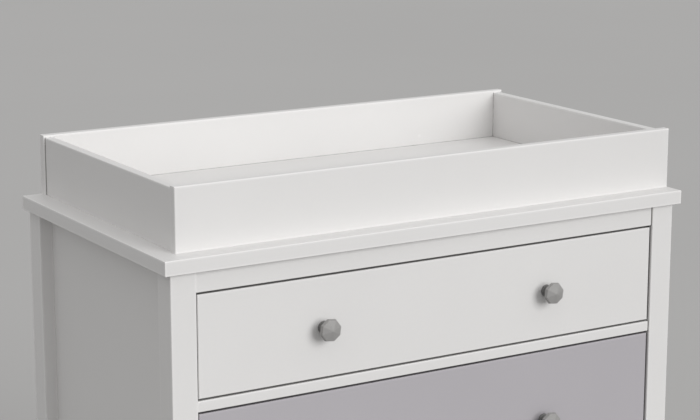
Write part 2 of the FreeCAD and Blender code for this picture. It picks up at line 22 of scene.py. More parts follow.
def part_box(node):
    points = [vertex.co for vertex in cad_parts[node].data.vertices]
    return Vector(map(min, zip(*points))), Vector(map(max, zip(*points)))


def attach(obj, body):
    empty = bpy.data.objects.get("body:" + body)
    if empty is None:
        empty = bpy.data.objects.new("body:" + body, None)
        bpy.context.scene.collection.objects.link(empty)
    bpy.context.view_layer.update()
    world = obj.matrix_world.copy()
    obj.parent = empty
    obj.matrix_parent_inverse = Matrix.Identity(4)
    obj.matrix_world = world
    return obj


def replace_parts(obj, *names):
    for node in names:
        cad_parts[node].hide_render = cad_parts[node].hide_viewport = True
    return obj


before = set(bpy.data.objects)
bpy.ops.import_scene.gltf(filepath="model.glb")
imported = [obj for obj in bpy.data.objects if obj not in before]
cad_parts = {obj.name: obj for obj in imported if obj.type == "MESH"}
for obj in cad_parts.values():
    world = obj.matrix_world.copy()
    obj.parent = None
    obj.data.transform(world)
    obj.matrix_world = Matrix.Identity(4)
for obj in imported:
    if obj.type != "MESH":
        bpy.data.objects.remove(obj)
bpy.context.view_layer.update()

LOG = logging.getLogger("changing_dresser")
MM = 0.001
SEED = 23

Colour = tuple[float, float, float]
Socket = bpy.types.NodeSocket
Profile = Sequence[tuple[float, float]]


class Body(Enum):
    """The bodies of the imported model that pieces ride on."""

    CARCASS = "carcass"
    TOP_DRAWER = "top_drawer"
    MIDDLE_DRAWER = "middle_drawer"
    BOTTOM_DRAWER = "bottom_drawer"


class Slot(Enum):
    """Names of the record's material slots."""

    SCREW_STEEL = "screw_steel"
    NYLON = "nylon"
    FRAME_WOOD = "frame_wood"


class Edge(Enum):
    """How wide the softened edges of a solid are, in millimetres."""

    PAINTED = 0.7
    SAWN = 0.6
    THIN = 0.2
    AS_MADE = 0.0


class Axis(Enum):
    """The way that a board's grain or the drawn lines in a plating run."""

    X = 0
    Y = 1
    Z = 2


class Facing(Enum):
    """The way the head of a screw or nail looks."""

    LEFT = (-1.0, 0.0, 0.0)
    RIGHT = (1.0, 0.0, 0.0)
    BACK = (0.0, 1.0, 0.0)
    DOWN = (0.0, 0.0, -1.0)


# Finishes


@dataclass(frozen=True)
class Waves:
    """One noise pattern: waves per metre, finer layers, where it lies and how it swirls."""

    scale: float | tuple[float, ...]
    detail: float = 2.0
    seed: float = 0.0
    swirl: float = 0.0


@dataclass(frozen=True)
class Grain:
    """Noise that is stretched one way: its waves per metre along that way and across it."""

    along: float
    across: float
    detail: float = 2.0
    seed: float = 0.0
    swirl: float = 0.0

    def laid(self, axis: Axis, seed: float = 0.0) -> Waves:
        """Lays the grain along an axis.

        Args:
            axis: the way it runs.
            seed: moves it to another place.

        Returns:
            The noise pattern.
        """
        scale = tuple(self.along if way is axis else self.across for way in Axis)
        return Waves(scale, self.detail, self.seed + seed, self.swirl)


@dataclass(frozen=True)
class Span:
    """What a value becomes where it starts and ends to count. It is held beyond both."""

    low: float
    high: float
    start: float = 0.3
    end: float = 0.7


@dataclass(frozen=True)
class Shelter:
    """A search for near walls: its reach in millimetres, and the openness that counts."""

    reach: float
    closed: float
    clear: float
    inside: bool = False
    rays: int = 6


WHOLE = Span(0.0, 1.0)


class Graph:
    """The nodes of one material, added and linked in the order they are asked for."""

    COLOUR_A, COLOUR_B, COLOUR_RESULT = 6, 7, 2
    SEED_STEPS = (1.0, 1.7, 2.3)

    def __init__(self, name: str) -> None:
        """Starts a material whose shader is linked to its output.

        Args:
            name: the material's name.
        """
        self.material = bpy.data.materials.new(name)
        self.material.use_nodes = True
        self.tree = self.material.node_tree
        self.tree.nodes.clear()
        self.shader = self.node("ShaderNodeBsdfPrincipled")
        output = self.node("ShaderNodeOutputMaterial")
        self.tree.links.new(self.shader.outputs[0], output.inputs["Surface"])
        self.object_place = self.node("ShaderNodeTexCoord").outputs["Object"]

    def node(self, kind: str, values: dict | None = None, **settings: object) -> bpy.types.Node:
        """Adds a node.

        Args:
            kind: the node's type.
            values: what each named input gets, a socket to link or a plain value.
            settings: the node's own properties.

        Returns:
            The new node.
        """
        node = self.tree.nodes.new(kind)
        for key, value in settings.items():
            setattr(node, key, value)
        for key, value in (values or {}).items():
            self.feed(node.inputs[key], value)
        return node

    def feed(self, target: Socket, value: object) -> None:
        """Links a socket to an input, or writes a plain value into it.

        Args:
            target: the input.
            value: another node's output, or the value.
        """
        if isinstance(value, Socket):
            self.tree.links.new(value, target)
        else:
            target.default_value = value

    def shade(self, **values: object) -> None:
        """Feeds the shader's inputs, named with underscores.

        Args:
            values: what each input gets.
        """
        for key, value in values.items():
            self.feed(self.shader.inputs[key.replace("_", " ")], value)

    def noise(self, waves: Waves) -> Socket:
        """Adds a cloud of noise in the object's own coordinates.

        Args:
            waves: its pattern.

        Returns:
            The noise, from 0 to 1.
        """
        scale = (waves.scale,) * 3 if isinstance(waves.scale, float) else waves.scale
        where = self.node("ShaderNodeMapping", {
            "Vector": self.object_place, "Scale": scale,
            "Location": tuple(waves.seed * step for step in self.SEED_STEPS)})
        return self.node("ShaderNodeTexNoise", {
            "Vector": where.outputs[0], "Scale": 1.0, "Detail": waves.detail,
            "Distortion": waves.swirl}).outputs[0]

    def spread(self, value: Socket, span: Span) -> Socket:
        """Stretches a value to a range, held at its ends.

        Args:
            value: the value.
            span: the range.

        Returns:
            The stretched value.
        """
        return self.node("ShaderNodeMapRange", {
            "Value": value, "From Min": span.start, "From Max": span.end, "To Min": span.low,
            "To Max": span.high}).outputs[0]

    def sheltered(self, shelter: Shelter) -> Socket:
        """Finds where walls are near.

        Args:
            shelter: the search.

        Returns:
            1 where they are near, 0 in the open.
        """
        near = self.node("ShaderNodeAmbientOcclusion", {"Distance": shelter.reach * MM},
                         samples=shelter.rays, inside=shelter.inside, only_local=shelter.inside)
        return self.spread(near.outputs["AO"], Span(1.0, 0.0, shelter.closed, shelter.clear))

    def sum_up(self, operation: str, first: Socket, second: object = 0.0) -> Socket:
        """Joins two values by a sum of the math node.

        Args:
            operation: the sum's name.
            first: the first value.
            second: the second value, a socket or a number.

        Returns:
            The result.
        """
        node = self.node("ShaderNodeMath", operation=operation)
        self.feed(node.inputs[0], first)
        self.feed(node.inputs[1], second)
        return node.outputs[0]

    def between(self, factor: Socket, first: object, second: object) -> Socket:
        """Goes from one colour to another.

        Args:
            factor: 0 for the first colour, 1 for the second.
            first: a colour or a socket.
            second: a colour or a socket.

        Returns:
            The mixed colour.
        """
        node = self.node("ShaderNodeMix", {"Factor": factor}, data_type="RGBA")
        for index, value in ((self.COLOUR_A, first), (self.COLOUR_B, second)):
            self.feed(node.inputs[index], value if isinstance(value, Socket) else (*value, 1.0))
        return node.outputs[self.COLOUR_RESULT]

    def relief(self, height: Socket, depth: float, below: Socket | None = None) -> Socket:
        """Turns a height into a bumped normal.

        Args:
            height: the height, from 0 to 1.
            depth: what 1 stands for, in millimetres.
            below: the normal of a coarser relief.

        Returns:
            The normal.
        """
        values = {"Height": height, "Distance": depth * MM, "Strength": 1.0}
        if below is not None:
            values["Normal"] = below
        return self.node("ShaderNodeBump", values).outputs[0]


def toned(colour: Colour, factor: float) -> Colour:
    """Gives a colour made darker or lighter by a factor."""
    return tuple(min(1.0, part * factor) for part in colour)


@dataclass(frozen=True)
class Finish(ABC):
    """A surface finish, whose material is made when the first piece wears it."""

    name: str
    colour: Colour
    tones: tuple[float, float] = (1.0, 1.0)
    roughness: Span = Span(0.5, 0.5)

    @abstractmethod
    def fill(self, graph: Graph) -> None:
        """Adds the finish's nodes.

        Args:
            graph: the new material's graph.
        """

    def tinted(self, graph: Graph, value: Socket, span: Span = WHOLE) -> Socket:
        """Goes from the finish's darkest to its lightest tone.

        Args:
            graph: the new material's graph.
            value: what the tone follows.
            span: the part of the value that counts.

        Returns:
            The colour.
        """
        dark, light = (toned(self.colour, tone) for tone in self.tones)
        return graph.between(graph.spread(value, span), dark, light)

    def material(self) -> bpy.types.Material:
        """Finds the finish's material, or makes it.

        Returns:
            The material.
        """
        found = bpy.data.materials.get(self.name)
        if found is None:
            graph = Graph(self.name)
            self.fill(graph)
            found = graph.material
            LOG.info("finish %s: %d nodes", self.name, len(graph.tree.nodes))
        return found


@dataclass(frozen=True)
class SatinPaint(Finish):
    """Sprayed satin paint: faint mottle, fine peel, painted edge highlights and painted shade in
    creases.
    """

    tones: tuple[float, float] = (0.988, 1.012)
    roughness: Span = Span(0.43, 0.49)
    cloud: Waves = Waves(4.0, 3.0)
    speck: Waves = Waves(240.0, seed=3.0)
    speck_share: float = 0.3
    mottle: Span = Span(0.0, 1.0, 0.45, 0.85)
    sag: Waves = Waves(11.0, 1.0, 5.0)
    sag_depth: float = 0.10
    peel: Waves = Waves(420.0, 1.5, 9.0)
    peel_depth: float = 0.018
    # Painted highlight along the edges: where the edges are found, and how much paler they are
    # made.
    edge_highlight: Shelter = Shelter(4.5, 0.45, 0.9, inside=True)
    edge_highlight_tone: float = 1.16
    edge_gloss: float = 0.1
    # Painted shade in narrow gaps and creases: where near walls are found, and how dark the colour
    # goes.
    crevice_shade: Shelter = Shelter(6.0, 0.10, 0.42)
    crevice_shade_tone: float = 0.10
    refraction: float = 1.46

    def fill(self, graph: Graph) -> None:
        """Adds the paint's nodes.

        Args:
            graph: the new material's graph.
        """
        cloud = graph.noise(self.cloud)
        specks = graph.sum_up("MULTIPLY", graph.noise(self.speck), self.speck_share)
        body = self.tinted(graph, graph.sum_up("ADD", cloud, specks), self.mottle)
        # Painted highlight: the edges are made paler. They are also made a little glossier below.
        edge = graph.sheltered(self.edge_highlight)
        body = graph.between(edge, body, toned(self.colour, self.edge_highlight_tone))
        # Painted shade: the colour goes dark in narrow gaps and creases.
        body = graph.between(graph.sheltered(self.crevice_shade), body, toned(self.colour, self.crevice_shade_tone))
        gloss = graph.sum_up("MULTIPLY", edge, self.edge_gloss)
        sag = graph.relief(graph.noise(self.sag), self.sag_depth)
        graph.shade(Base_Color=body,
                    Roughness=graph.sum_up("SUBTRACT", graph.spread(cloud, self.roughness), gloss),
                    Normal=graph.relief(graph.noise(self.peel), self.peel_depth, sag))
        graph.shader.inputs["IOR"].default_value = self.refraction


@dataclass(frozen=True)
class Timber(Finish):
    """Sawn or lacquered softwood with grain along the board."""

    roughness: Span = Span(0.55, 0.70)
    late: Colour = (0.50, 0.33, 0.17)
    along: Axis = Axis.X
    seed: float = 0.0
    growth: Grain = Grain(0.9, 9.0, 1.5, swirl=0.4)
    rings: float = 9.0
    ring: Span = Span(0.0, 0.55, -0.4, 1.0)
    ring_depth: float = 0.03
    fibre: Grain = Grain(28.0, 900.0, 4.0, 4.0)
    fibre_share: Span = Span(0.0, 0.30)
    fibre_tone: float = 0.8
    fibre_depth: float = 0.05
    blotch: Grain = Grain(1.6, 6.0, 3.0, 8.0)
    blotch_share: Span = Span(0.0, 0.16)
    blotch_tone: float = 1.12

    def fill(self, graph: Graph) -> None:
        """Adds the wood's nodes.

        Args:
            graph: the new material's graph.
        """
        growth, fibre, blotch = (graph.noise(grain.laid(self.along, self.seed))
                                 for grain in (self.growth, self.fibre, self.blotch))
        wave = graph.sum_up("SINE", graph.sum_up("MULTIPLY", growth, self.rings * math.tau))
        ring = graph.spread(wave, self.ring)
        wood = graph.between(ring, self.colour, self.late)
        wood = graph.between(graph.spread(fibre, self.fibre_share), wood,
                             toned(self.late, self.fibre_tone))
        wood = graph.between(graph.spread(blotch, self.blotch_share), wood,
                             toned(self.colour, self.blotch_tone))
        graph.shade(Base_Color=wood, Roughness=graph.spread(fibre, self.roughness),
                    Normal=graph.relief(fibre, self.fibre_depth,
                                        graph.relief(ring, self.ring_depth)))


@dataclass(frozen=True)
class Fibreboard(Finish):
    """Thin pressed board: pale, with short fibres and a dull surface."""

    tones: tuple[float, float] = (0.95, 1.0)
    roughness: Span = Span(0.63, 0.73)
    cloud: Waves = Waves(7.0, 4.0)
    hairs: Waves = Waves((90.0, 420.0, 90.0), 3.0, 2.0, 1.6)
    crossing: Waves = Waves((420.0, 90.0, 420.0), 3.0, 7.0, 1.6)
    fleck: Colour = (0.46, 0.38, 0.28)
    fleck_share: Span = Span(0.0, 0.45, 0.24, 0.42)
    fibre_depth: float = 0.06

    def fill(self, graph: Graph) -> None:
        """Adds the board's nodes.

        Args:
            graph: the new material's graph.
        """
        cloud = graph.noise(self.cloud)
        fibre = graph.sum_up("MULTIPLY", graph.noise(self.hairs), graph.noise(self.crossing))
        graph.shade(Base_Color=graph.between(graph.spread(fibre, self.fleck_share),
                                             self.tinted(graph, cloud), self.fleck),
                    Roughness=graph.spread(cloud, self.roughness),
                    Normal=graph.relief(fibre, self.fibre_depth))


@dataclass(frozen=True)
class PlatedSteel(Finish):
    """Zinc-plated steel, with faint clouds in the plating and drawn lines along a strip."""

    tones: tuple[float, float] = (0.9, 1.06)
    roughness: Span = Span(0.27, 0.42)
    along: Axis = Axis.Y
    cloud: Waves = Waves(60.0, 3.0)
    lines: Grain = Grain(6.0, 1400.0)
    line_depth: float = 0.006

    def fill(self, graph: Graph) -> None:
        """Adds the plating's nodes.

        Args:
            graph: the new material's graph.
        """
        cloud = graph.noise(self.cloud)
        graph.shade(Base_Color=self.tinted(graph, cloud),
                    Roughness=graph.spread(cloud, self.roughness),
                    Normal=graph.relief(graph.noise(self.lines.laid(self.along)),
                                        self.line_depth))
        graph.shader.inputs["Metallic"].default_value = 1.0


@dataclass(frozen=True)
class KnobGrey(Finish):
    """Satin grey coating on cast knobs: fine grains, painted highlights on the ridges, painted
    shade at the neck.
    """

    tones: tuple[float, float] = (0.93, 1.07)
    roughness: Span = Span(0.57, 0.67)
    metallic: float = 0.15
    grain: Waves = Waves(1500.0)
    grain_depth: float = 0.012
    cloud: Waves = Waves(90.0, seed=4.0)
    ridge_radius: float = 0.7
    ridge_rays: int = 4
    ridge: Span = Span(1.0, 0.0, 0.93, 0.995)
    ridge_highlight_tone: float = 1.18
    # Painted shade at the neck, where the knob meets the front: how far it is searched for, and
    # how dark it goes.
    neck_shade: Shelter = Shelter(14.0, 0.45, 0.96)
    neck_shade_tone: float = 0.28

    def fill(self, graph: Graph) -> None:
        """Adds the coating's nodes.

        Args:
            graph: the new material's graph.
        """
        grain = graph.noise(self.grain)
        # Painted highlight: the ridges between the facets are made paler.
        body = graph.between(self.ridges(graph), self.tinted(graph, grain),
                             toned(self.colour, self.ridge_highlight_tone))
        # Painted shade: the neck, where the knob meets the front, goes dark.
        graph.shade(Base_Color=graph.between(graph.sheltered(self.neck_shade), body,
                                             toned(self.colour, self.neck_shade_tone)),
                    Roughness=graph.spread(graph.noise(self.cloud), self.roughness),
                    Normal=graph.relief(grain, self.grain_depth))
        graph.shader.inputs["Metallic"].default_value = self.metallic

    def ridges(self, graph: Graph) -> Socket:
        """Finds the ridges between facets, where a rounded normal leaves the flat one.

        Args:
            graph: the new material's graph.

        Returns:
            1 on a ridge, 0 on a facet.
        """
        soft = graph.node("ShaderNodeBevel", {"Radius": self.ridge_radius * MM},
                          samples=self.ridge_rays)
        turn = graph.node("ShaderNodeVectorMath", operation="DOT_PRODUCT")
        graph.feed(turn.inputs[0], soft.outputs[0])
        graph.feed(turn.inputs[1], graph.node("ShaderNodeNewGeometry").outputs["Normal"])
        return graph.spread(turn.outputs["Value"], self.ridge)


@dataclass(frozen=True)
class Grained(Finish):
    """A plain finish: clouds in its colour, and a fine grain in its gloss and its relief."""

    cloud: Waves = Waves(70.0, 3.0)
    grain: Waves = Waves(700.0, seed=5.0)
    grain_depth: float = 0.03

    def fill(self, graph: Graph) -> None:
        """Adds the finish's nodes.

        Args:
            graph: the new material's graph.
        """
        grain = graph.noise(self.grain)
        graph.shade(Base_Color=self.body(graph), Roughness=graph.spread(grain, self.roughness),
                    Normal=graph.relief(grain, self.grain_depth))

    def body(self, graph: Graph) -> Socket:
        """Gives the finish's clouded colour.

        Args:
            graph: the new material's graph.

        Returns:
            The colour.
        """
        return self.tinted(graph, graph.noise(self.cloud))


@dataclass(frozen=True)
class JointShadow(Grained):
    """Dark strips along joints: the raw wood of a hairline joint, darkened further as painted
    shadow.
    """

    tones: tuple[float, float] = (0.75, 1.25)
    roughness: Span = Span(0.8, 0.9)


@dataclass(frozen=True)
class Nylon(Grained):
    """Moulded nylon: milky, with the fine texture of its mould."""

    tones: tuple[float, float] = (0.94, 1.0)
    roughness: Span = Span(0.34, 0.46)
    cloud: Waves = Waves(50.0)
    grain: Waves = Waves(900.0, seed=2.0)
    grain_depth: float = 0.01
    milk: float = 0.12
    milk_depth: float = 2.0

    def fill(self, graph: Graph) -> None:
        """Adds the plastic's nodes.

        Args:
            graph: the new material's graph.
        """
        super().fill(graph)
        graph.shader.inputs["Subsurface Weight"].default_value = self.milk
        graph.shader.inputs["Subsurface Scale"].default_value = self.milk_depth * MM


@dataclass(frozen=True)
class FloorFinish(Grained):
    """A plain pale studio floor, seen a little paler than the light that it throws back."""

    tones: tuple[float, float] = (0.99, 1.01)
    roughness: Span = Span(0.86, 0.94)
    cloud: Waves = Waves(0.5)
    grain: Waves = Waves(60.0, seed=6.0)
    grain_depth: float = 0.02
    bounce: Colour = (0.30, 0.298, 0.294)
    seen_by: tuple[str, ...] = ("Is Camera Ray", "Is Glossy Ray", "Is Transmission Ray")

    def body(self, graph: Graph) -> Socket:
        """Gives the floor's pale look, and a darker one to the light that it throws back.

        Args:
            graph: the new material's graph.

        Returns:
            The colour.
        """
        path = graph.node("ShaderNodeLightPath")
        seen, *others = (path.outputs[ray] for ray in self.seen_by)
        for ray in others:
            seen = graph.sum_up("MAXIMUM", seen, ray)
        return graph.between(seen, self.bounce, super().body(graph))


WHITE = SatinPaint("white satin", (0.775, 0.765, 0.756))
LILAC = SatinPaint("lilac satin", (0.463, 0.444, 0.468))
BOARD = Fibreboard("pressed board", (0.62, 0.55, 0.44))
STEEL = PlatedSteel("plated steel", (0.62, 0.63, 0.64))
PLATE = PlatedSteel("plate steel", STEEL.colour, along=Axis.Z)
SCREW = PlatedSteel("screw steel", (0.60, 0.60, 0.59), roughness=Span(0.22, 0.37))
KNOB = KnobGrey("knob grey", (0.338, 0.331, 0.324))
NYLON = Nylon("milky nylon", (0.80, 0.79, 0.75))
# Painted shadow lines: a dark finish for the strips in the joints, and a paler one for painted
# shade in the tray's inner corners.
JOINT_SHADOW = JointShadow("open joint shadow", (0.15, 0.145, 0.138))
CORNER_SHADE = JointShadow("closed joint shade", (0.45, 0.442, 0.435))
FLOOR = FloorFinish("studio floor", (0.462, 0.457, 0.451))
PINE = Timber("raw pine", (0.66, 0.50, 0.31))
LACQUERED = Timber("lacquered pine", (0.70, 0.55, 0.36), roughness=Span(0.35, 0.50),
                   late=(0.56, 0.39, 0.21), fibre_depth=0.02)


def cut(wood: Timber, board: str, along: Axis, seed: float) -> Timber:
    """Names one board's finish.

    Args:
        wood: the wood that it is cut from.
        board: what the board is.
        along: the way its grain runs.
        seed: which part of the log it is from.

    Returns:
        The finish.
    """
    return replace(wood, name=f"{wood.name} {board}", along=along, seed=seed)


# Added pieces


def facing(x: float, y: float, z: float, way: Facing, turn: float = 0.0) -> Matrix:
    """Gives the place of a part that is made upright, seated at a point.

    Args:
        x: the point, in metres.
        y: the point, in metres.
        z: the point, in metres.
        way: where its own top looks.
        turn: how far it is turned about itself, in radians.

    Returns:
        The matrix.
    """
    tilt = Vector(way.value).to_track_quat("Z", "Y").to_matrix().to_4x4()
    return Matrix.Translation((x, y, z)) @ tilt @ Matrix.Rotation(turn, 4, "Z")


class Blank:
    """A piece in the making: shapes are added to one mesh, which then becomes an object."""

    SMOOTH_BELOW = math.radians(38.0)

    def __init__(self, name: str) -> None:
        """Starts an empty piece.

        Args:
            name: the piece's name.
        """
        self.name = name
        self.mesh = bmesh.new()

    def loop(self, place: Matrix, points: Profile, height: float) -> list[bmesh.types.BMVert]:
        """Adds a level loop of points.

        Args:
            place: where the shape stands.
            points: the loop, in millimetres.
            height: its height, in millimetres.

        Returns:
            The loop's vertices.
        """
        return [self.mesh.verts.new(place @ Vector((u * MM, v * MM, height * MM)))
                for u, v in points]

    def skin(self, loops: Sequence[list[bmesh.types.BMVert]]) -> None:
        """Spans each two loops of equal length with faces.

        Args:
            loops: the loops, from the bottom up.
        """
        for low, high in zip(loops, loops[1:]):
            for a, b, c, d in zip(low, low[1:] + low[:1], high[1:] + high[:1], high):
                self.mesh.faces.new((a, b, c, d))

    def turned(self, place: Matrix, profile: Profile, steps: int) -> None:
        """Adds a turned shape, closed at both ends.

        Args:
            place: where the shape stands.
            profile: radius and height from the bottom up, in millimetres.
            steps: the points of each ring.
        """
        rings = [self.loop(place, circle(radius, steps), height) for radius, height in profile]
        self.skin(rings)
        self.mesh.faces.new(rings[0][::-1])
        self.mesh.faces.new(rings[-1])

    def bead(self, start: Vector, end: Vector, first: Vector, second: Vector) -> None:
        """Adds a three-sided bead along an inner corner.

        Args:
            start: one end of the corner, in metres.
            end: its other end.
            first: how far and which way it reaches on one face.
            second: how far and which way it reaches on the other face.
        """
        ends = [[self.mesh.verts.new(point) for point in (at, at + first, at + second)]
                for at in (start, end)]
        self.skin(ends)
        self.mesh.faces.new(ends[0][::-1])
        self.mesh.faces.new(ends[1])

    def object(self, body: Body, finish: Finish) -> bpy.types.Object:
        """Makes the object, which rides on a body.

        Args:
            body: what it rides on.
            finish: its finish.

        Returns:
            The object.
        """
        bmesh.ops.recalc_face_normals(self.mesh, faces=self.mesh.faces)
        for face in self.mesh.faces:
            face.smooth = True
        for edge in self.mesh.edges:
            edge.smooth = edge.calc_face_angle(0.0) < self.SMOOTH_BELOW
        data = bpy.data.meshes.new(self.name)
        self.mesh.to_mesh(data)
        self.mesh.free()
        data.materials.append(finish.material())
        piece = bpy.data.objects.new(self.name, data)
        bpy.context.scene.collection.objects.link(piece)
        bpy.context.view_layer.update()
        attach(piece, body.value)
        LOG.info("piece %s: %d faces on %s", self.name, len(data.polygons), body.value)
        return piece


def circle(radius: float, steps: int) -> list[tuple[float, float]]:
    """Gives the points of a circle.

    Args:
        radius: its radius.
        steps: how many points it has.

    Returns:
        The points.
    """
    turns = [math.tau * step / steps for step in range(steps)]
    return [(radius * math.cos(turn), radius * math.sin(turn)) for turn in turns]


def headed(shank_radius: float, shank: float, head: Profile, radius: float,
           height: float) -> list[tuple[float, float]]:
    """Gives the outline of a screw or nail, whose seat is at height 0.

    Args:
        shank_radius: the radius of its shank.
        shank: how far the shank goes in.
        head: the head's outline, in shares of its radius and height.
        radius: the head's radius.
        height: the head's height.

    Returns:
        Radius and height from the bottom up.
    """
    top = [(across * radius, up * height) for across, up in head]
    return [(shank_radius, -shank), (shank_radius, 0.0), *top]


@dataclass(frozen=True)
class CrossScrew:
    """A pan-head screw with a driven cross recess. Its seat is at height 0."""

    radius: float = 4.2
    height: float = 2.4
    shank_radius: float = 2.0
    shank: float = 4.0
    steps: int = 24
    head: Profile = ((1.0, 0.0), (1.0, 0.30), (0.95, 0.62), (0.83, 0.88), (0.66, 1.0))
    arm: float = 0.50
    arm_half: float = 0.13
    arms: int = 4
    recess: float = 0.72
    taper: float = 0.55

    def add(self, blank: Blank, place: Matrix) -> None:
        """Adds the screw to a piece.

        Args:
            blank: the piece.
            place: the seat of the head, with the head along its Z.
        """
        profile = headed(self.shank_radius, self.shank, self.head, self.radius, self.height)
        rings = [blank.loop(place, circle(radius, self.steps), height)
                 for radius, height in profile]
        blank.skin(rings)
        blank.mesh.faces.new(rings[0][::-1])
        mouth = blank.loop(place, self.cross(1.0), self.height)
        floor = blank.loop(place, self.cross(self.taper), self.height * (1.0 - self.recess))
        blank.skin([floor, mouth])
        blank.mesh.faces.new(floor)
        edges = [blank.mesh.edges.get((a, b)) for ring in (rings[-1], mouth)
                 for a, b in zip(ring, ring[1:] + ring[:1])]
        bmesh.ops.triangle_fill(blank.mesh, edges=edges, use_beauty=True, use_dissolve=False)

    def cross(self, factor: float) -> list[tuple[float, float]]:
        """Gives the outline of the recess.

        Args:
            factor: its size against the recess's mouth.

        Returns:
            Its points, three to an arm.
        """
        far, near = self.arm * self.radius * factor, self.arm_half * self.radius * factor
        arm = [(far, -near), (far, near), (near, near)]
        points = []
        for _ in range(self.arms):
            points += arm
            arm = [(-v, u) for u, v in arm]
        return points


@dataclass(frozen=True)
class Nail:
    """A small domed nail. Its seat is at height 0."""

    radius: float = 2.6
    height: float = 0.9
    shank: float = 2.0
    shank_share: float = 0.35
    steps: int = 18
    head: Profile = ((1.0, 0.0), (1.0, 0.35), (0.80, 0.80), (0.40, 1.0))

    def add(self, blank: Blank, place: Matrix) -> None:
        """Adds the nail to a piece.

        Args:
            blank: the piece.
            place: the seat of the head, with the head along its Z.
        """
        blank.turned(place, headed(self.shank_share * self.radius, self.shank, self.head,
                                   self.radius, self.height), self.steps)


@dataclass(frozen=True)
class Glide:
    """A turned leg glide: stepped seat, rounded rim and dished sole. Its seat is at height 0."""

    seat: tuple[float, float] = (1.5, 0.4)
    rim: float = 1.2
    rim_round: tuple[float, float] = (0.4, 0.35)
    dish: float = 9.0
    dish_slope: float = 2.0
    dish_depth: float = 1.6
    eye: float = 1.0
    steps: int = 48

    def add(self, blank: Blank, place: Matrix, radius: float, height: float) -> None:
        """Adds the glide to a piece.

        Args:
            blank: the piece.
            place: its seat, with its sole along Z.
            radius: its radius, in millimetres.
            height: its height, in millimetres.
        """
        (step, start), (inset, drop) = self.seat, self.rim_round
        sunk = height - self.dish_depth
        blank.turned(place, [(radius - step, 0.0), (radius, start), (radius, height - self.rim),
                             (radius - inset, height - drop), (radius - self.rim, height),
                             (self.dish, height), (self.dish - self.dish_slope, sunk),
                             (self.eye, sunk)], self.steps)


# Sub-assemblies


@dataclass
class SubAssembly(ABC):
    """Solids and pieces that belong together."""

    edge_steps: int = 2
    edge_from: float = 32.0
    weld: float = 0.01
    chance: random.Random = field(default_factory=lambda: random.Random(SEED))

    @abstractmethod
    def build(self) -> None:
        """Dresses the solids and adds the small pieces."""

    def dress(self, node: str, finish: Finish, edge: Edge = Edge.PAINTED) -> None:
        """Gives a solid its finish and softens its edges.

        Args:
            node: the solid's name.
            finish: its finish.
            edge: how its edges are softened.
        """
        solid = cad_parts[node]
        for held in solid.material_slots:
            held.material = finish.material()
        if edge is not Edge.AS_MADE:
            self.soften(solid, edge.value)
        LOG.info("solid %s: %s", node, finish.name)

    def soften(self, solid: bpy.types.Object, width: float) -> None:
        """Rounds a solid's edges with modifiers.

        Args:
            solid: the solid's object.
            width: how wide the rounding is, in millimetres.
        """
        weld = solid.modifiers.new("weld", "WELD")
        weld.merge_threshold = self.weld * MM
        bevel = solid.modifiers.new("soft edges", "BEVEL")
        bevel.width = width * MM
        bevel.segments = self.edge_steps
        bevel.limit_method = "ANGLE"
        bevel.angle_limit = math.radians(self.edge_from)
        bevel.use_clamp_overlap = True
        normals = solid.modifiers.new("even shading", "WEIGHTED_NORMAL")
        normals.keep_sharp = False

    def turn(self) -> float:
        """Gives a chance turn for a screw's recess."""
        return self.chance.uniform(0.0, math.pi / 2)


@dataclass
class Carcass(SubAssembly):
    """Top board, legs, rails, panels and what is hidden between them."""

    painted: tuple[str, ...] = (
        "top_panel", "front_left_leg", "front_right_leg", "back_left_leg", "back_right_leg",
        "left_side_panel", "right_side_panel", "top_rail", "upper_mid_rail", "lower_mid_rail",
        "bottom_rail")
    raw: tuple[tuple[str, str, Axis], ...] = (
        ("upper_back_rail", "upper back rail", Axis.X),
        ("lower_back_rail", "lower back rail", Axis.X),
        ("slide_battens", "battens", Axis.Y), ("bottom_cleats", "cleats", Axis.Y),
        ("corner_blocks", "corner blocks", Axis.X))
    pressed: tuple[str, ...] = ("back_panel", "bottom_panel")
    first_cut: float = 1.0
    cut_step: float = 4.0
    nail: Nail = Nail()
    nail_inset: float = 4.0
    corner_insets: float = 2.5
    nails_across: int = 9
    nails_up: int = 7
    glide: Glide = Glide()
    glide_nail: Nail = Nail(3.4, 0.8, 1.0)

    def build(self) -> None:
        """Dresses the carcass, nails its back and seats its feet."""
        for node in self.painted:
            self.dress(node, WHITE)
        for step, (node, board, along) in enumerate(self.raw):
            self.dress(node, cut(PINE, board, along, self.first_cut + self.cut_step * step))
        for node in self.pressed:
            self.dress(node, BOARD, Edge.AS_MADE)
        self.nail_back()
        self.seat_feet()

    def nail_back(self) -> None:
        """Adds the nails round the edge of the back panel."""
        low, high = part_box("back_panel")
        inset = self.nail_inset * MM
        left, right = low.x + inset, high.x - inset
        foot, head = low.z + self.corner_insets * inset, high.z - self.corner_insets * inset
        blank = Blank("back_nails")
        places = [(left + (right - left) * step / (self.nails_across - 1), z)
                  for step in range(self.nails_across) for z in (foot, head)]
        places += [(x, foot + (head - foot) * step / self.nails_up)
                   for step in range(1, self.nails_up) for x in (left, right)]
        for x, z in places:
            self.nail.add(blank, facing(x, high.y, z, Facing.BACK))
        blank.object(Body.CARCASS, SCREW)

    def seat_feet(self) -> None:
        """Puts turned glides, each with a dished middle and its nail, for the plain ones."""
        low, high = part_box("leg_glides")
        tall = (high.z - low.z) / MM
        legs = [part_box(name) for name in self.painted if name.endswith("_leg")]
        half_leg = (legs[0][1].x - legs[0][0].x) / 2
        radius = (half_leg - (low.x - legs[0][0].x)) / MM
        sole = Matrix.Translation((0.0, 0.0, (tall - self.glide.dish_depth) * MM))
        feet = Blank("turned_leg_glides")
        nails = Blank("glide_nails")
        for corner, top in legs:
            middle = (corner + top) / 2
            place = facing(middle.x, middle.y, high.z, Facing.DOWN)
            self.glide.add(feet, place, radius, tall)
            self.glide_nail.add(nails, place @ sole)
        piece = feet.object(Body.CARCASS, NYLON)
        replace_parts(piece, "leg_glides")
        nails.object(Body.CARCASS, SCREW)


